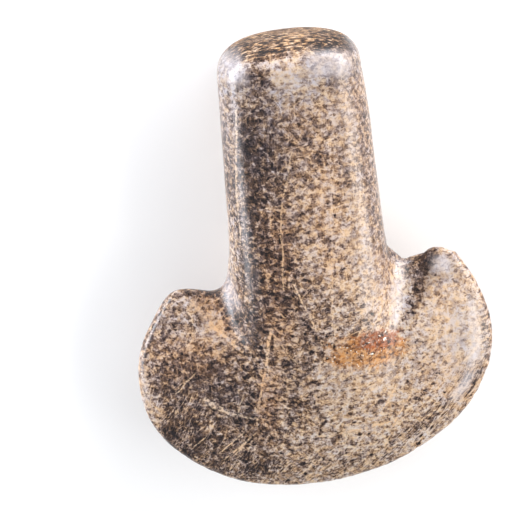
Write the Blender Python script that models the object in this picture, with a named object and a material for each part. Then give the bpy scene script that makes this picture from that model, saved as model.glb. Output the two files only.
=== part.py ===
"""A polished stone spud: a thick handle with a domed butt and a flaring, thin-rimmed blade.

The stone lies on its back. X runs across the blade, Y runs along the handle towards the butt
and Z points up out of the front face. The origin is the bottom centre of the stone's box.
"""

import math

import bmesh
import bpy
from mathutils import Matrix, Vector
from mathutils.geometry import interpolate_bezier

MM = 0.001

# Handle. Widths and thicknesses are whole ones. Y is measured from the middle of the length,
# and Z, until the stone is set down, from the middle of the thickness.
BUTT_Y = 70 * MM
FOOT_Y = 0.0
HANDLE_X = 1 * MM
BUTT_WIDTH = 41.4 * MM
FOOT_WIDTH = 46.8 * MM
HANDLE_THICKNESS = 36 * MM
FRONT_SLOPE = 3 * MM  # how much lower the front face is at the butt
BUTT_ROUNDING = 10 * MM
BUTT_DOME = 2.35  # exponent of the end's curve along Y: higher is flatter
HANDLE_SQUARENESS = 3.1  # exponent of the section: 2 is an ellipse, higher is boxier
BUTT_SQUARENESS = 2.8

# Inside the blade the handle runs on as a keel, which widens and thins towards the bit.
KEEL_END_Y = -57 * MM
KEEL_END_WIDTH = 54 * MM
KEEL_END_SQUARENESS = 2.0
KEEL_BIT_THICKNESS = 4 * MM
KEEL_FALL_FRONT = 1.7  # exponent of the fall towards the bit: higher stays thick for longer
KEEL_FALL_BACK = 2.4

# Blade, a lens about its own middle. Its rim is thicker at the shoulders than at the bit.
BIT_Y = -70 * MM
BLADE_MIDDLE = Vector((0.0, -30 * MM))
BLADE_CROWN = 22 * MM
BLADE_FULLNESS = 0.9  # exponent of the lens: lower is fuller near the rim
SHOULDER_RIM = 6.5 * MM
BIT_RIM = 4 * MM

# The blade's outline, anticlockwise from the bit. Each knot is a place in millimetres, the
# heading of the edge there in degrees, and how far the curve leans on it before and after.
BLADE_OUTLINE = (
    ("bit", (-9, -69.7), 0, 21, 32),
    ("right tip", (53.7, -26), 90, 26, 11),
    ("right corner", (47.3, -3.6), 122, 4, 3),
    ("right peak", (40, 2.7), 182, 3.5, 3.5),
    ("right notch", (30, -0.2), 172, 2.5, 1.5),
    ("right foot", (24.2, 6), 130, 2, 2),
    ("inside the handle, right", (18, 9), 160, 3, 3),
    ("inside the handle, left", (-16, 9), 200, 3, 2),
    ("left foot", (-22.8, 5), 262, 2, 4),
    ("left notch", (-28, -3.4), 184, 2.5, 3),
    ("left shoulder", (-38, -2.9), 180, 3, 2.5),
    ("left corner", (-44.4, -6.9), 234, 3, 4),
    ("left tip", (-53.8, -31), 270, 11, 24),
)

# Hollows ground into both faces beside the handle, as by drawing a round hone along. Each has
# the start and end of its floor in millimetres, on the front face, and the hone's radius.
HOLLOWS = (
    ("right", (33, 0, 1.5), (27, -20, 9.3), 8),
    ("left", (-32.5, -3, 2), (-24, -21, 9.8), 9),
)
HONE_OVERRUN = 14 * MM

# Where handle and blade flow into each other, off the rim. Distances across are from HANDLE_X.
BLEND_LOW_Y = -62 * MM
BLEND_HIGH_Y = 9 * MM
BLEND_ACROSS = 42 * MM
BLEND_OFF_RIM = 2 * MM
BLEND_PASSES = 40

# The worn flat along the back, on which the stone lies still.
REST_DEPTH = 0.6 * MM

# Fineness of the surface, from the first rings to the last facets.
KEEL_AND_SHAFT_RINGS = 40
BUTT_RINGS = 16
RING_SIDES = 96
OUTLINE_STEPS = 16
RIM_RINGS = 6
FACE_RINGS = 18
HONE_SIDES = 64
FIRST_GRAIN = 1.0 * MM
LAST_GRAIN = 0.9 * MM
POLISH_PASSES = 3
FACETS = 9000

STONE_COLOUR = (0.30, 0.23, 0.18, 1.0)
STONE_ROUGHNESS = 0.38


def clear_scene():
    for obj in list(bpy.data.objects):
        bpy.data.objects.remove(obj, do_unlink=True)


def between(low, high, share):
    return low + (high - low) * share


def eased(share):
    return share * share * (3 - 2 * share)


def superellipse(angle, half_width, half_depth, squareness):
    cos, sin = math.cos(angle), math.sin(angle)
    power = 2 / squareness
    x = half_width * math.copysign(abs(cos) ** power, cos)
    z = half_depth * math.copysign(abs(sin) ** power, sin)
    return x, z


def shaft_section(y):
    """Half width, front and back half thickness and squareness, from the foot to the butt."""
    along = (y - FOOT_Y) / (BUTT_Y - FOOT_Y)
    squareness = between(HANDLE_SQUARENESS, BUTT_SQUARENESS, along)
    into_dome = max(0.0, y - (BUTT_Y - BUTT_ROUNDING)) / BUTT_ROUNDING
    closing = (1 - into_dome**BUTT_DOME) ** (1 / squareness)
    width = between(FOOT_WIDTH, BUTT_WIDTH, along) / 2
    back = HANDLE_THICKNESS / 2
    front = back - FRONT_SLOPE * along
    return width * closing, front * closing, back * closing, squareness


def keel_section(y):
    """The same four measures, from the foot down inside the blade."""
    to_end = (FOOT_Y - y) / (FOOT_Y - KEEL_END_Y)
    to_bit = (FOOT_Y - y) / (FOOT_Y - BIT_Y)
    width = between(FOOT_WIDTH, KEEL_END_WIDTH, to_end**2) / 2
    thick, thin = HANDLE_THICKNESS / 2, KEEL_BIT_THICKNESS / 2
    front = between(thick, thin, to_bit**KEEL_FALL_FRONT)
    back = between(thick, thin, to_bit**KEEL_FALL_BACK)
    return width, front, back, between(HANDLE_SQUARENESS, KEEL_END_SQUARENESS, eased(to_end))


def handle_stations():
    """Places along Y for the rings, closer together where the butt rounds off."""
    dome_y = BUTT_Y - BUTT_ROUNDING
    shaft = [between(KEEL_END_Y, dome_y, i / KEEL_AND_SHAFT_RINGS) for i in range(KEEL_AND_SHAFT_RINGS)]
    quarter = [math.pi / 2 * i / BUTT_RINGS for i in range(BUTT_RINGS)]
    return shaft + [dome_y + BUTT_ROUNDING * math.sin(turn) for turn in quarter]


def skin(bm, rings):
    """Quads between each ring of vertices and the next."""
    for low, high in zip(rings, rings[1:]):
        for j, corner in enumerate(low):
            after = (j + 1) % len(low)
            bm.faces.new((corner, low[after], high[after], high[j]))


def fan(bm, ring, tip):
    for j, corner in enumerate(ring):
        bm.faces.new((corner, ring[(j + 1) % len(ring)], tip))


def add_handle(bm):
    rings = []
    for y in handle_stations():
        width, front, back, squareness = shaft_section(y) if y >= FOOT_Y else keel_section(y)
        ring = []
        for j in range(RING_SIDES):
            x, z = superellipse(2 * math.pi * j / RING_SIDES, width, 1.0, squareness)
            ring.append(bm.verts.new((HANDLE_X + x, y, z * (front if z > 0 else back))))
        rings.append(ring)
    skin(bm, rings)
    fan(bm, rings[0], bm.verts.new((HANDLE_X, KEEL_END_Y, 0.0)))
    fan(bm, rings[-1], bm.verts.new((HANDLE_X, BUTT_Y, 0.0)))


def heading(degrees):
    turn = math.radians(degrees)
    return Vector((math.cos(turn), math.sin(turn)))


def blade_edge():
    """Points round the blade's outline, read from the Bezier curve through its knots."""
    edge = []
    for here, there in zip(BLADE_OUTLINE, BLADE_OUTLINE[1:] + BLADE_OUTLINE[:1]):
        _, start, leaving, _, reach = here
        _, end, arriving, lean, _ = there
        start, end = Vector(start), Vector(end)
        first_handle = start + heading(leaving) * reach
        second_handle = end - heading(arriving) * lean
        steps = interpolate_bezier(start, first_handle, second_handle, end, OUTLINE_STEPS + 1)
        edge += [point * MM for point in steps[:-1]]
    return edge


def blade_profile(point):
    """Places and heights from the rim at point to the blade's middle, along one ray."""
    down = eased(min(max((FOOT_Y - point.y) / (FOOT_Y - BIT_Y), 0.0), 1.0))
    rim = between(SHOULDER_RIM, BIT_RIM, down) / 2
    inward = (BLADE_MIDDLE - point).normalized()
    profile = []
    for i in range(RIM_RINGS):
        turn = math.pi / 2 * i / RIM_RINGS
        profile.append((point + inward * rim * (1 - math.cos(turn)), rim * math.sin(turn)))
    top_of_rim = point + inward * rim
    for i in range(FACE_RINGS):
        share = i / FACE_RINGS
        lens = (1 - (1 - share) ** 2) ** BLADE_FULLNESS
        profile.append((top_of_rim.lerp(BLADE_MIDDLE, share), between(rim, BLADE_CROWN / 2, lens)))
    return profile


def add_blade(bm):
    profiles = [blade_profile(point) for point in blade_edge()]
    edge = [bm.verts.new((*profile[0][0], 0.0)) for profile in profiles]
    for side in (1, -1):
        rings = [edge]
        for i in range(1, RIM_RINGS + FACE_RINGS):
            rings.append([bm.verts.new((*profile[i][0], side * profile[i][1])) for profile in profiles])
        skin(bm, rings)
        fan(bm, rings[-1], bm.verts.new((*BLADE_MIDDLE, side * BLADE_CROWN / 2)))


def new_object(name, bm):
    bmesh.ops.recalc_face_normals(bm, faces=bm.faces)
    mesh = bpy.data.meshes.new(name)
    bm.to_mesh(mesh)
    bm.free()
    obj = bpy.data.objects.new(name, mesh)
    bpy.context.scene.collection.objects.link(obj)
    return obj


def freeze(obj):
    """Swap the object's mesh for what its modifiers make of it."""
    bpy.context.view_layer.update()
    graph = bpy.context.evaluated_depsgraph_get()
    made = bpy.data.meshes.new_from_object(obj.evaluated_get(graph))
    obj.modifiers.clear()
    obj.data = made


def remesh(obj, grain):
    """One even skin over everything that overlaps."""
    modifier = obj.modifiers.new("skin", "REMESH")
    modifier.mode = "VOXEL"
    modifier.voxel_size = grain
    freeze(obj)


def in_blend(point):
    along = BLEND_LOW_Y < point.y < BLEND_HIGH_Y
    return along and abs(point.x - HANDLE_X) < BLEND_ACROSS and abs(point.z) > BLEND_OFF_RIM


def rub_down(obj, passes, wanted):
    """Even out the surface wherever wanted says so."""
    bm = bmesh.new()
    bm.from_mesh(obj.data)
    verts = [v for v in bm.verts if wanted(v.co)]
    for _ in range(passes):
        bmesh.ops.smooth_vert(
            bm, verts=verts, factor=0.5, use_axis_x=True, use_axis_y=True, use_axis_z=True
        )
    bm.to_mesh(obj.data)
    bm.free()


def add_hone(name, start, end, radius, side):
    """A round bar whose underside runs along the floor of a hollow."""
    start, end = (Vector((x, y, side * z)) * MM for x, y, z in (start, end))
    along = (end - start).normalized()
    facing = Vector((0, 0, side))
    outward = (facing - along * along.dot(facing)).normalized()
    bm = bmesh.new()
    bmesh.ops.create_cone(
        bm,
        cap_ends=True,
        segments=HONE_SIDES,
        radius1=radius * MM,
        radius2=radius * MM,
        depth=(end - start).length + 2 * HONE_OVERRUN,
    )
    middle = (start + end) / 2 + outward * radius * MM
    place = Matrix.Translation(middle) @ along.to_track_quat("Z", "X").to_matrix().to_4x4()
    bmesh.ops.transform(bm, matrix=place, verts=bm.verts)
    hone = new_object(name, bm)
    hone.hide_render = True
    hone.display_type = "WIRE"
    return hone


def grind_hollows(obj):
    for name, start, end, radius in HOLLOWS:
        for face, side in (("front", 1), ("back", -1)):
            hone = add_hone(f"{name}_{face}_hone", start, end, radius, side)
            modifier = obj.modifiers.new(hone.name, "BOOLEAN")
            modifier.operation = "DIFFERENCE"
            modifier.object = hone
            freeze(obj)
            bpy.data.objects.remove(hone, do_unlink=True)


def facet(obj):
    triangles = sum(len(polygon.vertices) - 2 for polygon in obj.data.polygons)
    modifier = obj.modifiers.new("facets", "DECIMATE")
    modifier.ratio = FACETS / triangles
    freeze(obj)


def set_down(obj):
    """Wear the flat into the back, and put the origin under the middle of the stone."""
    bm = bmesh.new()
    bm.from_mesh(obj.data)
    level = min(v.co.z for v in bm.verts) + REST_DEPTH
    cut = bmesh.ops.bisect_plane(
        bm,
        geom=bm.verts[:] + bm.edges[:] + bm.faces[:],
        plane_co=(0, 0, level),
        plane_no=(0, 0, -1),
        clear_outer=True,
    )
    rim = [item for item in cut["geom_cut"] if isinstance(item, bmesh.types.BMEdge)]
    bmesh.ops.edgeloop_fill(bm, edges=rim)
    bmesh.ops.triangulate(bm, faces=[face for face in bm.faces if len(face.verts) > 3])
    middle = [(min(v.co[i] for v in bm.verts) + max(v.co[i] for v in bm.verts)) / 2 for i in (0, 1)]
    bmesh.ops.translate(bm, vec=(-middle[0], -middle[1], -level), verts=bm.verts)
    bm.normal_update()
    bm.to_mesh(obj.data)
    bm.free()


def stone_material():
    material = bpy.data.materials.new("polished_stone")
    material.use_nodes = True
    shader = material.node_tree.nodes["Principled BSDF"]
    shader.inputs["Base Color"].default_value = STONE_COLOUR
    shader.inputs["Roughness"].default_value = STONE_ROUGHNESS
    shader.inputs["Metallic"].default_value = 0.0
    return material


def build_spud():
    bm = bmesh.new()
    add_handle(bm)
    add_blade(bm)
    spud = new_object("stone_spud", bm)
    remesh(spud, FIRST_GRAIN)
    rub_down(spud, BLEND_PASSES, in_blend)
    grind_hollows(spud)
    remesh(spud, LAST_GRAIN)
    rub_down(spud, POLISH_PASSES, lambda point: True)
    facet(spud)
    set_down(spud)
    spud.data.shade_smooth()
    spud.data.materials.clear()
    spud.data.materials.append(stone_material())


clear_scene()
build_spud()
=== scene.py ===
import math
import bpy
import numpy as np
from mathutils import Matrix, Vector, noise


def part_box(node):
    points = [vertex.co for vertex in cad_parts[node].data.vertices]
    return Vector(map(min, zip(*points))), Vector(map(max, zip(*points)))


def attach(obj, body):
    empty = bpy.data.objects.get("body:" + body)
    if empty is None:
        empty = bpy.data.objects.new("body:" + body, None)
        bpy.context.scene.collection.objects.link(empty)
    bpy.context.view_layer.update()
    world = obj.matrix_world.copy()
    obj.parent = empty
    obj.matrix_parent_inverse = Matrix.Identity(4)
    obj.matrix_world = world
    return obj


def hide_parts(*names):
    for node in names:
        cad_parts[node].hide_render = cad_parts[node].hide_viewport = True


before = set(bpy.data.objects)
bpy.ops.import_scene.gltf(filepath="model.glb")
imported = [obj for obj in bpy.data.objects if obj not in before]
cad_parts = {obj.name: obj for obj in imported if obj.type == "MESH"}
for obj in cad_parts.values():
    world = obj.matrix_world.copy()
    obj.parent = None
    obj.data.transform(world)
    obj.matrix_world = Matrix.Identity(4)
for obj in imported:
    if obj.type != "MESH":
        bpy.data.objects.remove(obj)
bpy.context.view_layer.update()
spudLow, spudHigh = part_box("stone_spud")
mm = 0.001
middleHeight = (spudLow.z + spudHigh.z) / 2 / mm  # in millimetres
layered = (0.9, 2.1, 3)  # how fast finer layers of a wave fade, how much finer each is, and how many

stone = {
    "grid": 0.57 * mm,  # width of the small faces that the stone is remeshed with
    "weld": 0.01 * mm,  # points closer than this become one
    "rubbing": 34,  # strokes that take the flat facets away
    "rubIn": 0.5,  # share of the way to its neighbours that a stroke takes a point, and then back out
    "rubOut": 0.52,
    "swell": 0.16 * mm,  # how far the hand-ground surface waves in and out
    "swellSize": 13 * mm,
    "grit": 0.035 * mm,  # fine tooth left by the polishing
    "gritSize": 1.6 * mm,
    "pit": 0.16 * mm,  # depth of the pecked pits
    "pitSize": 2.3 * mm,
    "pitAmount": 0.26,  # how much of its cell a pit takes
    "pitBowl": 1.5,  # how steeply a pit deepens to its middle
}


def edgeList(mesh):
    ends = np.empty(len(mesh.edges) * 2, np.int32)
    mesh.edges.foreach_get("vertices", ends)
    return ends.reshape(-1, 2)


def pointsOf(mesh):
    points = np.empty(len(mesh.vertices) * 3, np.float32)
    mesh.vertices.foreach_get("co", points)
    return points.reshape(-1, 3).astype(np.float64)


def normalsOf(mesh):
    normals = np.empty(len(mesh.vertices) * 3, np.float32)
    mesh.vertex_normals.foreach_get("vector", normals)
    return normals.reshape(-1, 3).astype(np.float64)


def setPoints(mesh, points):
    mesh.vertices.foreach_set("co", points.astype(np.float32).ravel())
    mesh.update()


def neighbourMean(values, pairs, shares):
    total = np.zeros_like(values)
    for near, far in ((0, 1), (1, 0)):
        for axis in range(values.shape[1]):
            total[:, axis] += np.bincount(pairs[:, near], values[pairs[:, far], axis], len(values))
    return total / shares[:, None]


def rubSmooth(points, pairs):
    # in and out strokes, so the stone keeps its thickness
    shares = np.bincount(pairs.ravel(), minlength=len(points)).astype(float)
    for _ in range(stone["rubbing"]):
        points = points + stone["rubIn"] * (neighbourMean(points, pairs, shares) - points)
        points = points - stone["rubOut"] * (neighbourMean(points, pairs, shares) - points)
    return points


def eachPoint(function, points, size, *more):
    return np.array([function(Vector(p) / size, *more) for p in points])


def smoothStep(values, low, high):
    share = np.clip((values - low) / (high - low), 0, 1)
    return share * share * (3 - 2 * share)


def remeshStone():
    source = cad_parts["stone_spud"]
    blank = bpy.data.objects.new("carved_spud", source.data.copy())
    bpy.context.scene.collection.objects.link(blank)
    weld = blank.modifiers.new("weld", "WELD")
    weld.merge_threshold = stone["weld"]
    remesh = blank.modifiers.new("remesh", "REMESH")
    remesh.mode = "VOXEL"
    remesh.voxel_size = stone["grid"]
    graph = bpy.context.evaluated_depsgraph_get()
    mesh = bpy.data.meshes.new_from_object(blank.evaluated_get(graph))
    blank.modifiers.clear()
    blank.data = mesh
    return blank


outline = {
    # across, along, reach and how far the side stands out or in there; in millimetres
    "nudges": (
        (3, 70, 10, 0.40),
        (-21, 24, 18, -0.28),
        (23.3, 20, 16, -0.18),
        (22, 52, 7, -0.30),
        (21.5, 60, 5.5, -0.60),
        (-25.2, -3, 4, -0.85),
        (-29.5, -4.2, 4, -0.75),
        (-51, -44, 12, 0.50),
        (-51, -19, 6, 0.25),
        (-15, -68.5, 10, -0.50),
        (3, -69, 12, 0.30),
        (20, -65.5, 10, 0.35),
        (-46, -12, 8, -0.30),
    ),
    # the corners between the flat chips down the broken side, in millimetres
    "corners": (
        (23.6, 4.4),
        (29.2, -1.3),
        (31, -0.2),
        (35.1, 0.4),
        (36.4, 1.4),
        (37.9, 1.8),
        (40.3, 1.5),
        (41.9, 0.5),
        (44.2, -0.4),
        (45.2, -2),
        (46.9, -4.7),
        (49.2, -8.6),
        (51.3, -14.25),
        (52.8, -20.25),
        (53.3, -25.25),
        (53, -30.1),
        (51.8, -36),
        (48, -43.9),
    ),
    "lean": 0.306,  # how much a chip that runs across leans out with the height
    "deepest": 3,  # the most that a chip takes off
    "runOut": 0.05,  # how far a chip runs out past its corners, as a share of its length
    "nibble": 0.60,  # depth of the small nicks along the bit
    "nibbleSize": 1.7,
    "nibbleGap": 0.1,  # a nick starts where the noise is over this
    "nibbleFrom": (30, 45),  # how far towards the bit they start, and are full
}


def trimSides(mesh):
    # sideways only, so the faces keep their height
    points = pointsOf(mesh) / mm
    aside = normalsOf(mesh)
    aside[:, 2] = 0
    # the sides eased in or out round a few places
    for x, y, reach, out in outline["nudges"]:
        far = np.hypot(points[:, 0] - x, points[:, 1] - y) / reach
        points += aside * (out * np.exp(-far ** 2))[:, None]
    # flat chips, each from one corner to the next
    past = outline["runOut"]
    for start, end in zip(outline["corners"], outline["corners"][1:]):
        way = Vector(end) - Vector(start)
        length = way.length
        way.normalize()
        face = np.array(Vector((-way.y, way.x, -outline["lean"] * way.x)).normalized())
        offset = points - np.array((*start, middleHeight))
        along = (offset[:, 0] * way.x + offset[:, 1] * way.y) / length
        over = offset @ face
        within = smoothStep(along, -past, 0) * (1 - smoothStep(along, 1, 1 + past))
        over = np.where((over > 0) & (over < outline["deepest"]), over, 0) * within
        points -= np.outer(over, face)
    # nicks along the bit
    rim = smoothStep(-points[:, 1], *outline["nibbleFrom"]) * np.linalg.norm(aside, axis=1) ** 2
    nicks = np.clip(eachPoint(noise.noise, points, outline["nibbleSize"]) - outline["nibbleGap"], 0, 1)
    points -= aside * (nicks * rim * outline["nibble"])[:, None]
    setPoints(mesh, points * mm)


def reliefStone(mesh):
    setPoints(mesh, rubSmooth(pointsOf(mesh), edgeList(mesh)))
    trimSides(mesh)
    points = pointsOf(mesh)
    normals = normalsOf(mesh)
    swell = eachPoint(noise.noise, points, stone["swellSize"]) * stone["swell"]
    grit = eachPoint(noise.fractal, points, stone["gritSize"], *layered) * stone["grit"]
    cells = eachPoint(lambda p: noise.voronoi(p)[0][0], points, stone["pitSize"])
    pits = np.clip(1 - cells / stone["pitAmount"], 0, 1) ** stone["pitBowl"] * stone["pit"]
    points = points + normals * (swell + grit - pits)[:, None]
    points[:, 2] = np.maximum(points[:, 2], 0)  # nothing sinks below what it lies on
    setPoints(mesh, points)
    for polygon in mesh.polygons:
        polygon.use_smooth = True


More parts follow.
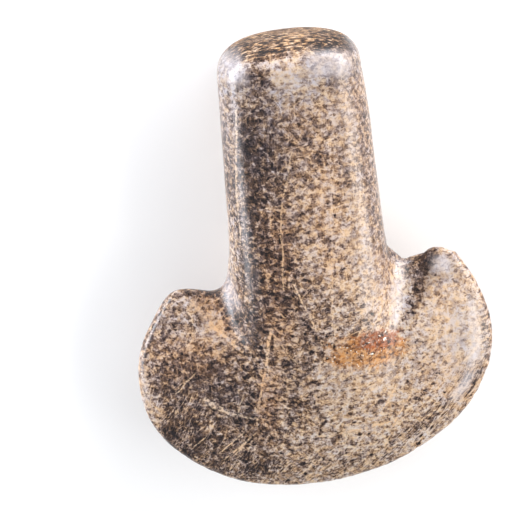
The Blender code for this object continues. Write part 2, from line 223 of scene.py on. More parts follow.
# soft-edged patches laid over the stone:
# across, along, half width, half length and turn, in millimetres and degrees, and how strong
tones = {
    "clouds": 0.16,  # how far the back and sides wander between light and dark
    "cloudSize": 14,  # in millimetres
    # lighter or darker: the stone's own tone, with painted shade and painted highlights where noted
    # below
    "front": (
        # the butt
        (5.5, 73, 3, 3, 0, 0.16),
        (-15, 72, 3, 2.5, 0, -0.14),
        (0, 72, 3, 2.5, 0, -0.10),
        (-12, 70, 6, 4, 0, -0.10),
        (-0.5, 70, 2.5, 5, 0, -0.16),
        (15, 70, 7, 4, 0, -0.55),
        (-15, 69, 5, 3, 0, -0.24),
        (1.5, 69, 5, 4, 0, 0.08),
        (4.8, 68.6, 4, 1.4, 0, 0.16),
        (-7, 68.5, 4, 3, 0, -0.07),
        (20, 67, 3, 3, 0, -0.12),
        (-10, 66, 2.5, 3, 0, 0.16),
        # these two: painted highlights at the butt's front corners
        (13, 63, 6, 4, -8, 0.06),
        (-16, 62, 4, 4, 0, 0.08),
        (-10, 60, 3, 3, 0, 0.08),
        (-8.4, 60, 3, 3, 0, -0.16),
        (1, 60, 6, 4, 0, 0.20),
        (6, 60, 3, 3, 0, -0.06),
        (11, 60, 3, 3, 0, -0.08),
        # the handle
        (4, 56, 7, 5, 0, 0.05),
        (0, 55, 4, 3, 0, -0.04),
        (-13, 54, 3, 4, 0, 0.10),
        (-5, 54, 10, 3, 0, 0.05),
        (0, 54, 2.5, 3, 0, -0.06),
        (3, 44, 5, 5, 0, -0.07),
        (15, 44, 4, 8, 0, 0.06),
        # this row, and those below at -9, -2 and -15 across, darken a band down the left of the handle:
        # partly the stone's dark tone, partly painted shade where the handle turns from the right-hand
        # lamps
        (-12, 38, 3, 14, 0, -0.08),
        (0, 36, 2.5, 3, 0, 0.08),
        (5, 36, 7, 4, 0, -0.06),
        # painted shade along the handle's right edge
        (20.5, 33, 2.5, 24, 3, -0.11),
        (-20, 30, 2, 28, 4, -0.11),
        (-9, 30, 5, 30, 3, -0.20),
        (10, 30, 3, 3, 0, 0.06),
        (13.4, 28.8, 2, 3, 0, -0.10),
        (10, 25, 3, 3, 0, -0.06),
        (-10, 24, 2.5, 4, 0, 0.05),
        (-2, 22, 6, 26, 3, -0.06),
        (-15, 20, 4, 22, 3, -0.10),
        (-7, 20, 5, 5, 0, 0.07),
        (0, 18, 3, 4, 0, -0.07),
        (-20, 14, 2, 8, 0, 0.08),
        (0, 13, 7, 13, 5, 0.06),
        (14, 12, 6, 16, 3, 0.06),
        (15, 10, 3, 10, 0, 0.05),
        (10, 5, 3, 4, 0, -0.08),
        (-15, 1, 2, 4, 0, -0.10),
        (-10, 0, 2.5, 12, 0, 0.06),
        (-3, -4, 5, 6, 0, -0.09),
        (5, -6, 3, 3, 0, -0.08),
        (10, -6, 3, 4, 0, 0.10),
        # the left side of the blade
        # painted shade on the top edge of the left shoulder
        (-31.8, -4.4, 5, 1.1, -7, -0.32),
        (-35, -6, 3, 3, 0, 0.08),
        (-26, -7, 4, 2.5, 0, -0.06),
        (-28, -9, 4, 6, -25, 0.06),
        (-22, -9, 3.5, 10, 40, -0.14),
        (-36, -11, 5, 3, 0, -0.09),
        (-36, -12, 5, 3, 0, -0.07),
        (-24, -12, 3, 4, 0, -0.08),
        (-30, -14, 6, 8, 0, 0.04),
        (-33, -15, 7, 5, 0, 0.06),
        (-49, -18, 2, 4, 0, -0.08),
        (-40, -18, 4, 3, 0, 0.08),
        (-42, -20, 7, 6, 0, -0.08),
        (-43, -24, 5, 4, 0, 0.06),
        (-35, -24, 3, 3, 0, 0.06),
        (-40, -25, 6, 5, 0, -0.06),
        (-33, -28, 3, 3, 0, -0.05),
        (-20, -29, 5, 5, 0, 0.06),
        # a painted highlight along the left rim, with more of it below at -50 and -49.5 across
        (-51.8, -30, 1.2, 8, 3, 0.08),
        (-47.5, -30, 4, 4, 0, -0.10),
        (-40, -30, 3, 3, 0, -0.10),
        (-49, -34, 2, 4, 0, -0.10),
        (-42, -36, 8, 3, 0, -0.05),
        # darker over the lower left of the blade: partly the stone's own tone, partly painted shade
        # where the blade slopes away from the right-hand lamps
        (-26, -36, 15, 13, -10, -0.22),
        (-50, -38, 3, 6, 0, 0.15),
        (-49.5, -41, 2, 4, 15, 0.18),
        (-42, -42, 6, 4, 0, 0.04),
        # from here down, the darker rows along the bit's lower rim are painted shade, where the blade
        # curves away from the lamps
        (-46, -46, 8, 12, 30, -0.16),
        (-33, -46, 5, 5, -20, 0.04),
        (-36, -47, 12, 7, -30, -0.08),
        (-45, -48, 2, 3, 0, -0.08),
        (-24, -48, 4, 4, 0, -0.08),
        (-37, -49.5, 4.5, 2.5, -30, 0.12),
        (-36, -50, 8, 5, -35, -0.10),
        (-44, -51, 6, 4, -40, -0.04),
        (-42, -51, 5, 4, 0, -0.08),
        (-43, -53, 4, 2.5, -35, -0.30),
        (-42, -53, 5, 4, 0, -0.08),
        (-40, -54, 3, 3, -30, -0.12),
        (-38, -54, 15, 6, -35, -0.20),
        (-22, -60, 6, 2.5, -15, -0.12),
        (-36, -60.5, 13, 1.5, -35, -0.20),
        (-19, -62, 13, 5, -14, -0.13),
        # the middle of the blade
        (-14, -8, 6, 12, 0, -0.12),
        (5, -18, 3, 4, 0, 0.06),
        (-8, -20, 4, 4, 0, 0.06),
        (1, -20, 3.5, 5, 0, -0.14),
        (-10, -21, 4, 6, 0, 0.08),
        (-14.5, -24, 3, 12, 0, -0.08),
        (5, -24, 4, 4, 0, 0.07),
        (-6, -25, 5, 7, 0, -0.12),
        (-12, -30, 5, 4, 0, 0.07),
        (-5, -30, 3, 3, 0, 0.06),
        (13, -30, 10, 8, 0, 0.12),
        (-13, -36, 4, 7, 0, 0.10),
        (-14, -37, 4, 5, 0, 0.06),
        (-9, -39, 3, 5, 0, -0.08),
        (-15, -42, 3, 3, 0, 0.05),
        (-5, -42, 3, 3, 0, -0.08),
        (12, -49, 6, 3, 0, 0.06),
        (-8, -57, 6, 6, 0, 0.08),
        (-11, -58, 9, 7, 0, -0.10),
        # painted shade along the bit's edge
        (5, -64, 20, 4, 0, -0.08),
        (-9, -65, 8, 3, 0, 0.10),
        # the right side of the blade
        (25, 5, 2, 4, 30, -0.12),
        (27, 5, 3, 4, 0, -0.08),
        # this row, and those below at 31 and 33.4 across: painted shade down the side of the hollow
        # that faces the handle, out of the lamps' light
        (35.2, -1.6, 2.0, 2.8, -15, -0.26),
        (28, -2, 4, 3, 0, -0.08),
        (30.8, -2, 2.2, 2.6, 0, -0.07),
        (31, -3, 2, 4, -10, -0.12),
        (34, -4, 3, 4, -15, 0.06),
        (33.4, -6, 1.4, 7, -21, -0.30),
        (46, -9, 3, 6, 25, -0.05),
        # a painted highlight down the ridge beside the hollow
        (25.4, -10, 1.6, 9, -13, 0.10),
        (19, -13, 5, 6, 0, 0.07),
        (29.6, -14, 1.8, 5, -30, -0.07),
        (40, -18, 5, 6, 0, 0.08),
        (38, -20, 14, 22, 0, 0.12),
        # a painted highlight on the rounded rim, and, at 51.2 across below, painted shade outside it
        # where the rim turns away
        (48, -22, 1.5, 7, 3, 0.06),
        (20, -24, 3, 3, 0, -0.08),
        (51.2, -24, 1.2, 9, 0, -0.16),
        (45, -30, 6, 6, 0, 0.05),
        (25, -38, 4, 5, 0, 0.09),
        # this row, and those below at 45.3 and 45 across: painted shade along the rim
        (48.8, -38, 1.2, 6, -25, -0.14),
        (46, -39, 4, 6, -30, -0.08),
        (45.3, -40, 2.5, 4, -20, -0.20),
        (32, -41, 7, 8, 30, -0.08),
        (38, -42, 5, 4, 0, 0.07),
        (45, -42, 2.5, 3, 0, -0.10),
        (18, -44, 16, 9, -20, 0.06),
        (25, -48, 3, 3, 0, 0.05),
        (36, -48, 3, 3, 0, -0.08),
        (41, -48, 4, 4, 0, -0.08),
        # these three: painted shade along the bit's edge
        (32, -51, 5, 3, 20, -0.07),
        (31, -54, 4, 2.5, 25, -0.14),
        (28, -54.5, 5, 2.5, 20, -0.10),
    ),
    # where the grains stand out less, or more
    "calm": (
        (18, 30, 4.5, 34, 3, 0.30),
        (2, 54, 16, 9, 0, 0.14),
        (3, 26, 9, 28, 3, 0.18),
        (12, -34, 10, 10, 0, 0.06),
        (-27, -18, 6, 13, 0, 0.10),
        (43, -43, 5, 8, -30, 0.10),
        (-17, 40, 4, 18, 4, 0.15),
        (40, -3, 8, 7, 0, 0.18),
        (24, -2, 5, 8, -10, 0.18),
        (46, -30, 6, 16, 0, 0.10),
        (8, -48, 26, 14, 0, -0.05),
        (-43, -30, 12, 24, 0, 0.10),
        # these two even out the grains under the painted highlights at the butt corners
        (-15, 63, 4, 4.5, 10, 0.26),
        (12.5, 61.8, 6, 3.4, -8, 0.24),
        (43, -12, 9, 14, 0, 0.10),
        (38, -30, 12, 8, 0, 0.08),
    ),
    # where it turns a rusty brown
    "warm": (
        (-27.5, -11, 3.5, 8, 40, 0.6),
        (-10, -12, 4, 8, 0, 0.5),
        (-15, -36, 3, 10, -10, 0.6),
        (8, 16, 4, 16, 0, 0.2),
        (-38, -22, 9, 6, 0, 0.4),
        (-8, 10, 4, 10, 0, 0.4),
        (36, -36, 6, 6, 0, 0.3),
    ),
    # painted highlights: pale patches where the lamps' highlights fall on the butt corners, the ridges,
    # the rims and the handle's left edge
    "worn": (
        (-14.9, 62.8, 2.8, 3.6, 10, 0.32),
        (12, 62, 5.4, 2.8, -8, 0.28),
        (25.9, -8.5, 1.5, 8, -13, 0.18),
        (39.6, -2.6, 2.6, 1.8, -20, 0.30),
        (48, -22, 1.3, 7, 3, 0.18),
        (46.4, -33.5, 1.3, 4, -15, 0.20),
        (43, -41.5, 1.4, 4, -40, 0.40),
        (-51.9, -30, 1, 9, 3, 0.12),
        (-23.5, -3, 1.8, 5, 20, 0.35),
        (-17.2, 30, 1.4, 26, 4, 0.06),
    ),
    # cooler and greyer: partly the stone's own hue, partly the painted lavender of highlights at the
    # butt corners, the left flank, the right shoulder and the rims
    "coolHueAndHighlight": (
        (-17, 62, 5, 5, 0, 1.2),
        (13, 62, 7, 4, -8, 1.2),
        (-18, 35, 3, 30, 3, 0.5),
        (19, 30, 5, 30, 3, 0.3),
        (-8, 46, 6, 14, 3, 0.7),
        (4, 57, 8, 5, 0, 0.8),
        (40, -4, 5, 3, -20, 0.9),
        (28, -10, 3, 9, -10, 0.8),
        (46, -22, 4, 10, 5, 0.5),
        (38, -32, 9, 8, 0, 0.35),
        (-40, -10, 9, 6, 0, 0.3),
        (-25, -38, 8, 6, -30, 0.6),
    ),
}

# where each part of the stone starts and is full: in millimetres, or as slopes from 0 to 1
zones = {
    "front": (-3, 3),  # up from the middle of its height
    "steep": (0.1, 0.5),  # how far a face looks up or down: fully steep, and not at all
    "steepUntil": (-30, -10),  # how far towards the butt this holds, and is gone
    "butt": (0.5, 0.8),  # how squarely a face looks along the handle
    "buttFrom": (58, 64),
    "buttSides": (0.4, 0.75),  # how far it looks sideways: all of it, and none
    "bit": (0.62, 0.85),  # out along the oval of the blade
    "bitFrom": (25, 40),
    "bitMiddle": (0, -20),
    "bitReach": (54, 50),
}


def paintLayer(mesh, name, values):
    layer = mesh.attributes.new(name, "FLOAT", "POINT")
    layer.data.foreach_set("value", np.asarray(values, np.float32))


def patchwork(points, rows):
    shade = np.zeros(len(points))
    for x, y, wide, long, turn, strong in rows:
        cosine = math.cos(math.radians(turn))
        sine = math.sin(math.radians(turn))
        across = ((points[:, 0] - x) * cosine + (points[:, 1] - y) * sine) / wide
        along = ((points[:, 1] - y) * cosine - (points[:, 0] - x) * sine) / long
        shade += strong * np.exp(-(across ** 4 + along ** 4) / 2)  # flat in the middle, soft at the rim
    return shade


def paintTones(mesh):
    points = pointsOf(mesh) / mm
    slopes = normalsOf(mesh)
    front = smoothStep(points[:, 2] - middleHeight, *zones["front"])
    wander = eachPoint(noise.fractal, points, tones["cloudSize"], *layered) * tones["clouds"]
    paintLayer(mesh, "toneAndPaintedLight", patchwork(points, tones["front"]) * front + wander * (1 - front))
    for name in ("coolHueAndHighlight", "warm", "worn", "calm"):
        paintLayer(mesh, name, patchwork(points, tones[name]) * front)
    steep = 1 - smoothStep(np.abs(slopes[:, 2]), *zones["steep"])
    paintLayer(mesh, "steep", steep * (1 - smoothStep(points[:, 1], *zones["steepUntil"])))
    end = smoothStep(slopes[:, 1], *zones["butt"]) * smoothStep(points[:, 1], *zones["buttFrom"])
    paintLayer(mesh, "butt", end * (1 - smoothStep(np.abs(slopes[:, 0]), *zones["buttSides"])))
    reach = np.linalg.norm((points[:, :2] - zones["bitMiddle"]) / zones["bitReach"], axis=1)
    bit = smoothStep(reach, *zones["bit"]) * smoothStep(-points[:, 1], *zones["bitFrom"])
    paintLayer(mesh, "bit", bit)


def tint(colour):
    # from screen values to the light they stand for
    shares = [value / 255 for value in colour]
    light = [((share + 0.055) / 1.055) ** 2.4 if share > 0.04 else share / 12.92 for share in shares]
    return (*light, 1)


def addNode(tree, kind, inputs=(), **settings):
    node = tree.nodes.new("ShaderNode" + kind)
    for name, value in settings.items():
        setattr(node, name, value)
    for name, value in dict(inputs).items():
        if isinstance(value, bpy.types.NodeSocket):
            tree.links.new(value, node.inputs[name])
        else:
            node.inputs[name].default_value = value
    return node


def calc(tree, operation, *values):
    return addNode(tree, "Math", dict(enumerate(values)), operation=operation).outputs[0]


def add(tree, *values):
    total = values[0]
    for value in values[1:]:
        total = calc(tree, "ADD", total, value)
    return total


def times(tree, *values):
    total = values[0]
    for value in values[1:]:
        total = calc(tree, "MULTIPLY", total, value)
    return total


def vector(tree, operation, *values):
    return addNode(tree, "VectorMath", dict(enumerate(values)), operation=operation).outputs[0]


def measure(tree, operation, *values):
    return addNode(tree, "VectorMath", dict(enumerate(values)), operation=operation).outputs["Value"]


def fade(tree, value, low, high, start=0.0, end=1.0):
    values = {0: value, 1: low, 2: high, 3: start, 4: end}
    return addNode(tree, "MapRange", values, interpolation_type="SMOOTHSTEP").outputs[0]


def drawn(tree, value, target, share):
    # the value drawn some of the way to a target
    return add(tree, value, times(tree, share, calc(tree, "SUBTRACT", target, value)))


def blend(tree, share, under, over, mode="MIX"):
    values = {0: share, 6: under, 7: over}
    return addNode(tree, "Mix", values, data_type="RGBA", blend_type=mode).outputs[2]


def multiplied(tree, colour, wash):
    return blend(tree, 1.0, colour, wash, "MULTIPLY")


def washed(tree, share, colour, wash):
    return blend(tree, share, colour, multiplied(tree, colour, tint(wash)))


noiseMiddle = 0.5  # what a noise wanders round
pushLayers = (1, 0.5)  # the finer layers in a push, and how strong they are


def noiseField(tree, place, size, layers, strength):
    values = {"Vector": place, "Scale": size, "Detail": layers, "Roughness": strength}
    return addNode(tree, "TexNoise", values).outputs


def haze(tree, place, shape):
    # noise round zero
    value = calc(tree, "SUBTRACT", noiseField(tree, place, *shape["noise"])["Fac"], noiseMiddle)
    return times(tree, value, shape["height"]) if "height" in shape else value


def patches(tree, place, shape, *lifts):
    return fade(tree, add(tree, haze(tree, place, shape), *lifts), *shape["fade"])


def turned(tree, place, angle, stretch):
    # the pattern's own axes, turned and drawn out
    values = {"Vector": place, "Rotation": (0, 0, math.radians(angle)), "Scale": (stretch, 1, 1)}
    return addNode(tree, "Mapping", values, vector_type="TEXTURE").outputs[0]


def pushed(tree, place, size, reach):
    # the place moved about a little, so that the pattern wanders
    field = noiseField(tree, place, size, *pushLayers)["Color"]
    push = vector(tree, "SUBTRACT", field, (noiseMiddle, noiseMiddle, noiseMiddle))
    return vector(tree, "ADD", place, vector(tree, "MULTIPLY", push, (reach, reach, reach)))


def painted(tree, name):
    return addNode(tree, "Attribute", attribute_name=name).outputs["Fac"]


def amount(tree, everywhere, **places):
    # raised or lowered where the stone is painted so
    total = everywhere
    for name, change in places.items():
        total = add(tree, total, times(tree, painted(tree, name), change))
    return total


def ramp(tree, value, bands):
    node = addNode(tree, "ValToRGB", {"Fac": value})
    elements = node.color_ramp.elements
    while len(elements) < len(bands):
        elements.new(0.5)
    for element, (position, colour) in zip(elements, bands):
        element.position = position
        element.color = tint(colour)
    return node.outputs["Color"]


# below, "noise" gives patches to a millimetre, the finer layers in them and how strong those are,
# "height" how strong the whole is, and "fade" the noise where something starts and is full,
# with its amount at either end
grains = {
    "drift": (0.5, 1.3),  # how often and how far the grains wander
    "stretch": 1.5,  # how drawn out the wide patches are
    "patches": {"noise": (0.80, 3, 0.55), "fade": (-0.05, 0.03, 0, 0.30)},
    "specks": {"noise": (1.50, 2, 0.5), "fade": (-0.10, -0.04, 0, 0.19)},
    "pale": {"noise": (1.0, 3, 0.6), "fade": (0.055, 0.10, 0, 0.10)},
    "fine": {"noise": (2.0, 2, 0.5), "height": 0.35},
    "mottle": {"noise": (0.9, 2, 0.55), "height": 0.5},
    "toneSpread": 0.22,  # how much a painted tone widens the dark or the pale grains
    "toneHeight": 0.7,  # and how much it shifts them all
    "level": 0.154,  # raises all of them
    "darkest": (0.08, 0.12),  # where the grains level off, and how softly
    "palest": (0.80, 0.25),
    "paleTone": (0.05, 0.25, 0, 0.3),  # how far a pale tone draws the grains together, and to what
    "paleShade": 0.62,
    "calmShade": {"everywhere": 0.46, "toneAndPaintedLight": 0.9},  # what the calm places are drawn to
    "blotches": {"noise": (0.42, 3, 0.6), "fade": (-0.07, 0.0, -0.11, 0.045)},
    "blotchAmount": {"everywhere": 1.25, "bit": -0.3, "calm": -2},
}


def grainPattern(tree, place, drift):
    toneAndPaintedLight = painted(tree, "toneAndPaintedLight")
    lift = times(tree, toneAndPaintedLight, grains["toneSpread"])
    wide = turned(tree, drift, 0, grains["stretch"])
    return add(
        tree,
        patches(tree, wide, grains["patches"], lift),
        patches(tree, drift, grains["specks"], lift),
        patches(tree, drift, grains["pale"], lift),
        haze(tree, place, grains["fine"]),
        times(tree, toneAndPaintedLight, grains["toneHeight"]),
        grains["level"],
    )


dots = {
    "ragged": (1.3, 0.6),  # how often and how far the rims of the dots wander
    # dots to a millimetre, how much of its cell each fills, how dark, and the share of cells left out
    "sizes": (
        (1.1, 0.30, 0.34, 0.45),
        (0.5, 0.26, 0.40, 0.66),
        (0.34, 0.31, 0.32, 0.50),
    ),
    "core": 0.5,  # share of a dot that is fully dark
    "choice": 0.06,  # how softly cells are chosen
    "amount": {"everywhere": 0.9, "bit": 0.2, "calm": -1.5},
}


def dotPattern(tree, place):
    ragged = pushed(tree, place, *dots["ragged"])
    total = 0.0
    for size, reach, height, missing in dots["sizes"]:
        cells = addNode(tree, "TexVoronoi", {"Vector": ragged, "Scale": size}).outputs
        draw = measure(tree, "DOT_PRODUCT", cells["Color"], (1, 0, 0))
        chosen = fade(tree, draw, missing, missing + dots["choice"])
        mark = fade(tree, cells["Distance"], reach * dots["core"], reach, height, 0)
        total = add(tree, total, times(tree, mark, chosen))
    return times(tree, total, calc(tree, "MAXIMUM", amount(tree, **dots["amount"]), 0))


hairlines = {
    # degrees round, how drawn out, lines to a millimetre, width, how much paler, and only in this zone
    "ways": (
        (12, 14, 0.6, 0.035, 0.16, None),
        (50, 14, 0.6, 0.035, 0.16, None),
        (125, 14, 0.6, 0.035, 0.16, None),
        (160, 12, 0.6, 0.035, 0.14, None),
        (87, 26, 0.6, 0.045, 0.14, None),
        (97, 22, 0.6, 0.04, 0.12, None),
        (40, 20, 1.0, 0.07, 0.34, "bit"),
        (48, 24, 0.9, 0.06, 0.32, "bit"),
        (55, 22, 1.0, 0.07, 0.36, "bit"),
        (66, 18, 0.9, 0.06, 0.30, "bit"),
    ),
    "layers": (0, 0.5),  # the finer layers in them, and how strong they are
    "core": 0.3,  # share of a line's width that is full
    "areas": {"stretch": 2, "noise": (0.22, 1, 0.5), "fade": (-0.02, 0.06)},
}


def hairlinePattern(tree, place):
    areas = hairlines["areas"]
    total = 0.0
    for angle, stretch, size, width, height, zone in hairlines["ways"]:
        along = turned(tree, place, angle, stretch)
        across = calc(tree, "ABSOLUTE", haze(tree, along, {"noise": (size, *hairlines["layers"])}))
        stroke = fade(tree, across, width * hairlines["core"], width, height, 0)
        stroke = times(tree, stroke, patches(tree, turned(tree, place, angle, areas["stretch"]), areas))
        if zone:
            stroke = times(tree, stroke, painted(tree, zone))
        total = add(tree, stroke, total)
    return total


scratches = {
    # where each one starts and ends, its width, and how much paler it is; in millimetres
    "lines": (
        ((-0.6, 39.2), (-5.5, 22.3), 0.45, 0.17),
        ((-5.5, 22.3), (-7.2, -2), 0.5, 0.19),
        ((-12, -13), (-15.1, -27.2), 0.85, 0.36),
        ((-15.1, -27.2), (-18.4, -40), 0.65, 0.30),
        ((-18.4, -40), (-19.6, -47), 0.4, 0.22),
        ((8.9, 22.7), (4.7, -27.5), 0.4, 0.18),
        ((-4.4, 0.7), (1.4, -15.2), 0.5, 0.28),
        ((-11.5, -16), (-5.5, -25), 0.4, 0.20),
        ((-12.1, -14.6), (-9.4, -17.2), 0.5, 0.26),
        ((-9.3, -7.3), (-7.3, -10.6), 0.45, 0.22),
        ((-34.6, -36.3), (-27.3, -40.9), 1.3, 0.42),
        ((-33, -38.4), (-25.5, -42), 0.9, 0.20),
        ((-27.3, -40.9), (-18.3, -43.8), 0.65, 0.30),
        ((-42.8, -34.6), (-35.7, -27.6), 0.45, 0.24),
        ((23.4, -36.5), (15.8, -48.5), 0.5, 0.36),
        ((27.5, -40.3), (20.9, -50.7), 0.5, 0.34),
        ((21, -49.2), (6.5, -50.6), 0.45, 0.30),
        ((-35.4, -5.8), (-29.1, -13.7), 1.2, 0.30),
        ((-29.1, -13.7), (-22.1, -20.6), 1.1, 0.46),
        ((-22.1, -4.7), (-20.9, -9.5), 0.5, 0.26),
        ((39.6, -25.2), (30, -25), 0.5, 0.14),
        ((30, -25), (33.8, -31.1), 0.4, 0.14),
        ((24, -8), (12, -24), 0.35, 0.16),
        ((26, -12), (8, -19), 0.35, 0.14),
        ((-15, 52), (-16.5, 40), 0.5, 0.34),
        ((-16.5, 40), (-17.8, 25.3), 0.5, 0.34),
        ((-17.8, 25.3), (-17.9, 12), 0.45, 0.26),
        ((18.5, -44.5), (23.2, -37.5), 0.4, 0.24),
        ((5.1, -50.4), (21.1, -49), 0.4, 0.26),
        ((-1.4, -52.5), (7.8, -49.9), 0.4, 0.22),
        ((25.5, -56.9), (37.9, -50.1), 0.4, 0.22),
        ((39.4, -49.6), (46.5, -43.4), 0.4, 0.20),
        ((19.5, -52), (26.8, -46.9), 0.4, 0.22),
        ((-7, -68.6), (-0.1, -62.8), 0.4, 0.26),
        ((-31.9, -54.8), (-22.5, -46.9), 0.45, 0.30),
        ((-30.6, -57.5), (-19.6, -47.8), 0.45, 0.30),
        ((-39.6, -52.8), (-34.3, -48.4), 0.4, 0.26),
        ((-29.4, -61.6), (-25.6, -55.7), 0.4, 0.26),
        ((-24.6, -41), (-22.3, -34.8), 0.45, 0.26),
        ((-27.8, -56.3), (-20.6, -48.4), 0.4, 0.26),
    ),
    "wander": ((0.25, 1.2), (1.8, 0.3)),  # how often and how far they stray, at large and in small
    "edge": (0.3, 0.7),  # shares of the width where a line starts to fade and is gone
    "ends": (-1, 0.5),  # where it starts to fade and is gone, from either end
    "gaps": {"noise": (0.6, 2, 0.6), "fade": (-0.16, -0.04)},
    "wear": {"noise": (1.4, 2, 0.5), "fade": (-0.12, 0.06, 0.15, 1)},
    "colour": (224, 194, 162),
    "strength": 3.2,  # how fast their paleness turns to this colour
    "depth": 0.2,  # how far they cut in, against the bump of the grains
}


def scratchLines(tree, place):
    wander = place
    for often, far in scratches["wander"]:
        wander = pushed(tree, wander, often, far)
    solid, gone = scratches["edge"]
    endStart, endStop = scratches["ends"]
    total = 0.0
    for start, end, width, height in scratches["lines"]:
        way = Vector(end) - Vector(start)
        half = way.length / 2
        way.normalize()
        offset = vector(tree, "SUBTRACT", wander, (*start, 0))
        aside = calc(tree, "ABSOLUTE", measure(tree, "DOT_PRODUCT", offset, (-way.y, way.x, 0)))
        along = measure(tree, "DOT_PRODUCT", offset, (way.x, way.y, 0))
        away = calc(tree, "ABSOLUTE", calc(tree, "SUBTRACT", along, half))
        # it fades to either side, and then past its ends
        line = fade(tree, aside, width * solid, width * gone, height, 0)
        line = times(tree, line, fade(tree, away, half + endStart, half + endStop, 1, 0))
        total = add(tree, line, total)
    gaps = patches(tree, place, scratches["gaps"])
    return times(tree, total, gaps, patches(tree, place, scratches["wear"]))


butt = {
    # the end of the butt, streaked across
    "stretch": 3.4,
    "streaks": {"noise": (1.5, 4, 0.65), "height": 3.4},
    "level": 0.10,  # how much paler it is
    "evened": 0.5,  # how much of the ordinary grains it loses
    "colour": (248, 230, 196),  # what it is multiplied by
    "strength": 0.8,
}


def shadeStone(tree, place, drift):
    # how pale the stone is, from 0, nearly black, to 1, cream
    shade = grainPattern(tree, place, drift)
    shade = calc(tree, "SMOOTH_MAX", shade, *grains["darkest"])
    shade = add(tree, shade, haze(tree, drift, grains["mottle"]), hairlinePattern(tree, place))
    shade = calc(tree, "SMOOTH_MIN", shade, *grains["palest"])
    # pale places are evened out, and so are calm ones once the dark dots are in
    pale = fade(tree, painted(tree, "toneAndPaintedLight"), *grains["paleTone"])
    shade = drawn(tree, shade, grains["paleShade"], pale)
    shade = calc(tree, "SUBTRACT", shade, dotPattern(tree, drift))
    shade = drawn(tree, shade, amount(tree, **grains["calmShade"]), painted(tree, "calm"))
    strength = calc(tree, "MAXIMUM", amount(tree, **grains["blotchAmount"]), 0)
    shade = add(tree, shade, times(tree, patches(tree, drift, grains["blotches"]), strength))
    # the butt has streaks of its own
    streaked = haze(tree, turned(tree, place, 0, butt["stretch"]), butt["streaks"])
    end = painted(tree, "butt")
    shade = times(tree, shade, calc(tree, "SUBTRACT", 1, times(tree, end, butt["evened"])))
    return add(tree, shade, times(tree, end, add(tree, streaked, butt["level"])))


def drifted(tree, colour, place, shape):
    # some of it a little cooler, some a little warmer
    share = patches(tree, place, shape)
    return multiplied(tree, colour, blend(tree, share, tint(shape["cooler"]), tint(shape["warmer"])))


finish = {
    # how pale the stone is, from 0 to 1, and its colour there
    "bands": (
        (0.0, (31, 26, 28)),
        (0.22, (82, 65, 58)),
        (0.42, (137, 115, 101)),
        (0.6, (184, 162, 143)),
        (0.78, (214, 196, 178)),
        (1.0, (242, 236, 223)),
    ),
    "fromHeight": (15, 19),  # where the stain and the placed scratches start and are full
    # what cooler and warmer grains and areas are multiplied by
    "mineral": {
        "noise": (0.6, 4, 0.65), "fade": (-0.14, 0.14),
        "cooler": (246, 247, 255), "warmer": (255, 245, 228),
    },
    "area": {
        "noise": (0.3, 3, 0.6), "fade": (-0.15, 0.15),
        "cooler": (246, 248, 255), "warmer": (255, 247, 236),
    },
    "warm": (250, 228, 206),  # what the painted warm places, and the cooler places with their painted highlight tint, are multiplied by
    "coolHueAndHighlight": (226, 237, 255),
    "worn": (238, 233, 237),  # the colour of the painted highlights, and how thinly it lies
    "wornThin": {"noise": (1.2, 3, 0.6), "fade": (-0.15, 0.15, 0.7, 1.1)},
    "bump": {"noise": (0.9, 4, 0.6), "height": 0.12},
    "bumpStrength": 0.5,
    "bumpDepth": 0.3 * mm,
}


def colourStone(tree, place, drift, lines):
    colour = ramp(tree, shadeStone(tree, place, drift), finish["bands"])
    colour = drifted(tree, colour, drift, finish["mineral"])
    colour = blend(tree, times(tree, lines, scratches["strength"]), colour, tint(scratches["colour"]))
    colour = drifted(tree, colour, place, finish["area"])
    # the warm places, then the cooler ones, which also carry painted highlight tint
    for name in ("warm", "coolHueAndHighlight"):
        colour = washed(tree, painted(tree, name), colour, finish[name])
    colour = washed(tree, times(tree, painted(tree, "butt"), butt["strength"]), colour, butt["colour"])
    # last come the painted highlights, a thin pale lavender over the colour
    thin = patches(tree, drift, finish["wornThin"])
    return blend(tree, times(tree, painted(tree, "worn"), thin), colour, tint(finish["worn"]))


stain = {
    # the rusty mark on the blade, in millimetres, and its darker core
    "middle": (15.4, -23.6),
    "reach": (12.5, 6.4),
    "edge": (0.7, 1.15, 1, 0),  # shares of the reach where it starts to fade and is gone
    "rust": (242, 198, 144),  # what the stone is multiplied by
    "coreMiddle": (19, -20.5),
    "coreReach": (9, 4.5),
    "coreEdge": (0.5, 1.1, 1, 0),
    "core": (202, 132, 88),
    "turn": -4,
    "deep": 1000,  # so far down that height makes no difference
    "ragged": {"noise": (0.35, 4, 0.7), "height": 1.5},
    "thin": {"noise": (0.8, 3, 0.6), "fade": (-0.12, 0.0, 0.6, 1)},
    "flecks": {"noise": (1.1, 2, 0.5), "fade": (0.15, 0.19)},
    "fleck": (242, 236, 223),
}


def stainReach(tree, place, middle, reach):
    # from 0 at the middle of the stain to about 1 at its ragged edge
    values = {
        "Vector": place,
        "Location": (*middle, 0),
        "Rotation": (0, 0, math.radians(stain["turn"])),
        "Scale": (*reach, stain["deep"]),
    }
    flat = addNode(tree, "Mapping", values, vector_type="TEXTURE").outputs[0]
    return add(tree, measure(tree, "LENGTH", flat), haze(tree, place, stain["ragged"]))


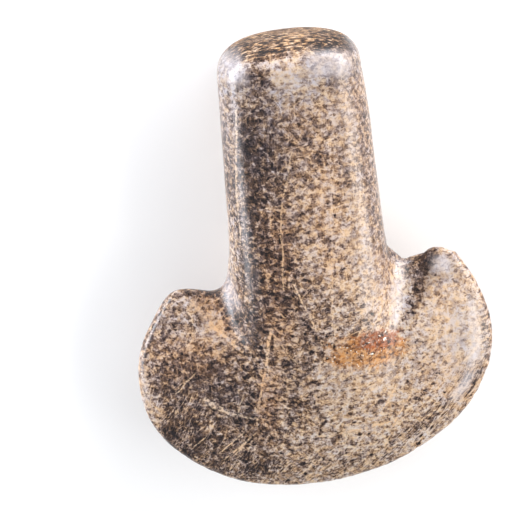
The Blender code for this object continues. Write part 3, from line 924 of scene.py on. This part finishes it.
def rustStone(tree, colour, place, drift, front):
    edge = fade(tree, stainReach(tree, place, stain["middle"], stain["reach"]), *stain["edge"])
    inner = stainReach(tree, place, stain["coreMiddle"], stain["coreReach"])
    coreEdge = fade(tree, inner, *stain["coreEdge"])
    share = times(tree, edge, front, patches(tree, place, stain["thin"]))
    rusted = multiplied(tree, colour, tint(stain["rust"]))
    rusted = blend(tree, coreEdge, rusted, multiplied(tree, colour, tint(stain["core"])))
    colour = blend(tree, share, colour, rusted)
    flecks = patches(tree, drift, stain["flecks"])
    return blend(tree, times(tree, flecks, share), colour, tint(stain["fleck"]))


polish = {
    # roughness, and what the steep rims, the painted highlights and the butt add to it
    "roughness": {"everywhere": 0.25, "steep": 0.4, "worn": -0.1},
    "butt": 0.5,
    "smears": {"noise": (0.9, 3, 0.6), "height": 0.35},
}


def polishStone(tree, place):
    end = painted(tree, "butt")
    rough = add(tree, haze(tree, place, polish["smears"]), amount(tree, **polish["roughness"]))
    return add(tree, rough, times(tree, end, end, polish["butt"]))


def finishStone():
    material = bpy.data.materials.new("polished stone")
    material.use_nodes = True
    tree = material.node_tree
    shader = tree.nodes["Principled BSDF"]
    metres = addNode(tree, "TexCoord").outputs["Object"]
    # the patterns are all laid out in millimetres
    place = vector(tree, "SCALE", metres)
    place.node.inputs["Scale"].default_value = 1 / mm
    drift = pushed(tree, place, *grains["drift"])
    height = addNode(tree, "SeparateXYZ", {0: place}).outputs["Z"]
    front = fade(tree, height, *finish["fromHeight"])
    lines = times(tree, scratchLines(tree, place), front)
    colour = colourStone(tree, place, drift, lines)
    colour = rustStone(tree, colour, place, drift, front)
    tree.links.new(colour, shader.inputs["Base Color"])
    tree.links.new(polishStone(tree, place), shader.inputs["Roughness"])
    relief = add(tree, haze(tree, drift, finish["bump"]), times(tree, lines, -scratches["depth"]))
    values = {"Height": relief, "Strength": finish["bumpStrength"], "Distance": finish["bumpDepth"]}
    tree.links.new(addNode(tree, "Bump", values).outputs[0], shader.inputs["Normal"])
    return material


camera = {
    "lens": 135,  # in millimetres, as is the sensor
    "sensor": 36,
    "distance": 567.7 * mm,
    "tilt": 17,  # degrees off straight down, leaning to the butt
    "roll": 5.77,
    "height": 18 * mm,  # of the point it turns about, over the middle of the stone
    "sideways": -14.8 * mm,  # where it aims from there
    "upwards": 2.95 * mm,
    "sees": (10 * mm, 20),  # nearest and furthest, in metres
}


def aimCamera():
    tilt = math.radians(camera["tilt"])
    roll = math.radians(camera["roll"])
    middle = Vector((0, 0, camera["height"]))
    back = Vector((0, math.sin(tilt), math.cos(tilt)))
    level = Vector((1, 0, 0))
    upright = Vector((0, math.cos(tilt), -math.sin(tilt)))
    # rolled about the way it looks, then turned to the point it aims at
    right = level * math.cos(roll) - upright * math.sin(roll)
    up = level * math.sin(roll) + upright * math.cos(roll)
    place = middle + back * camera["distance"]
    aim = middle + right * camera["sideways"] + up * camera["upwards"]
    toward = (aim - place).normalized()
    side = toward.cross(up).normalized()
    top = side.cross(toward)
    eye = bpy.data.objects.new("camera", bpy.data.cameras.new("camera"))
    bpy.context.scene.collection.objects.link(eye)
    eye.data.lens = camera["lens"]
    eye.data.sensor_width = camera["sensor"]
    eye.data.clip_start, eye.data.clip_end = camera["sees"]
    eye.matrix_world = Matrix((
        (side.x, top.x, -toward.x, place.x),
        (side.y, top.y, -toward.y, place.y),
        (side.z, top.z, -toward.z, place.z),
        (0, 0, 0, 1),
    ))
    bpy.context.scene.camera = eye


# around: degrees clockwise from the butt, seen from above; above: degrees up from the floor
# away and size are in metres
softboxes = (
    {
        "name": "left box", "around": -64, "above": 18, "away": 0.84,
        "size": (0.75, 0.38), "watts": 9.0, "tint": (0.90, 0.93, 1.0),
    },
    {
        "name": "left strip box", "around": -98, "above": 18, "away": 0.84,
        "size": (0.44, 0.25), "watts": 1.8, "tint": (0.90, 0.94, 1.0),
    },
    {
        "name": "back right box", "around": 46, "above": 21, "away": 0.84,
        "size": (1.0, 0.30), "watts": 8.8, "tint": (0.96, 0.96, 1.0),
    },
    {
        "name": "right box", "around": 96, "above": 30, "away": 0.90,
        "size": (0.8, 0.50), "watts": 5.4, "tint": (1.0, 0.985, 0.95),
    },
    {
        "name": "low right box", "around": 126, "above": 40, "away": 0.90,
        "size": (0.35, 0.30), "watts": 0.7, "tint": (1.0, 0.985, 0.95),
    },
)


def hangSoftboxes():
    for box in softboxes:
        light = bpy.data.lights.new(box["name"], "AREA")
        light.shape = "RECTANGLE"
        light.size, light.size_y = box["size"]
        light.energy = box["watts"]
        light.color = box["tint"]
        lamp = bpy.data.objects.new(box["name"], light)
        bpy.context.scene.collection.objects.link(lamp)
        around = math.radians(box["around"])
        above = math.radians(box["above"])
        level = math.cos(above)
        way = Vector((math.sin(around) * level, math.cos(around) * level, math.sin(above)))
        lamp.location = way * box["away"]
        lamp.rotation_euler = (-way).to_track_quat("-Z", "Y").to_euler()
        lamp.visible_camera = False


room = {
    "light": 0.37,  # strength of the white all round
    "floorReach": 3,  # in metres, each way from the middle
    "floor": (0.76, 0.76, 0.76, 1),
    "floorRoughness": 0.9,
    "floorGlow": 0.2,  # lit from below, as on a light table
}


def makeRoom():
    world = bpy.data.worlds.new("room")
    bpy.context.scene.world = world
    world.use_nodes = True
    air = world.node_tree.nodes["Background"]
    air.inputs["Color"].default_value = (1, 1, 1, 1)
    air.inputs["Strength"].default_value = room["light"]
    bpy.context.scene.view_settings.view_transform = "Standard"


def layFloor():
    mesh = bpy.data.meshes.new("floor")
    reach = room["floorReach"]
    corners = [(-reach, -reach, 0), (reach, -reach, 0), (reach, reach, 0), (-reach, reach, 0)]
    mesh.from_pydata(corners, [], [(0, 1, 2, 3)])
    floor = bpy.data.objects.new("floor", mesh)
    bpy.context.scene.collection.objects.link(floor)
    paper = bpy.data.materials.new("lit table")
    paper.use_nodes = True
    shader = paper.node_tree.nodes["Principled BSDF"]
    shader.inputs["Base Color"].default_value = room["floor"]
    shader.inputs["Roughness"].default_value = room["floorRoughness"]
    shader.inputs["Emission Color"].default_value = (1, 1, 1, 1)
    shader.inputs["Emission Strength"].default_value = room["floorGlow"]
    mesh.materials.append(paper)


spud = remeshStone()
print("stone remeshed,", len(spud.data.polygons), "faces")
reliefStone(spud.data)
print("relief cut")
paintTones(spud.data)
print("tones laid on")
spud.data.materials.clear()
spud.data.materials.append(finishStone())
print("stone finished")
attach(spud, "root")
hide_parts("stone_spud")
layFloor()
makeRoom()
hangSoftboxes()
aimCamera()
print("studio set")
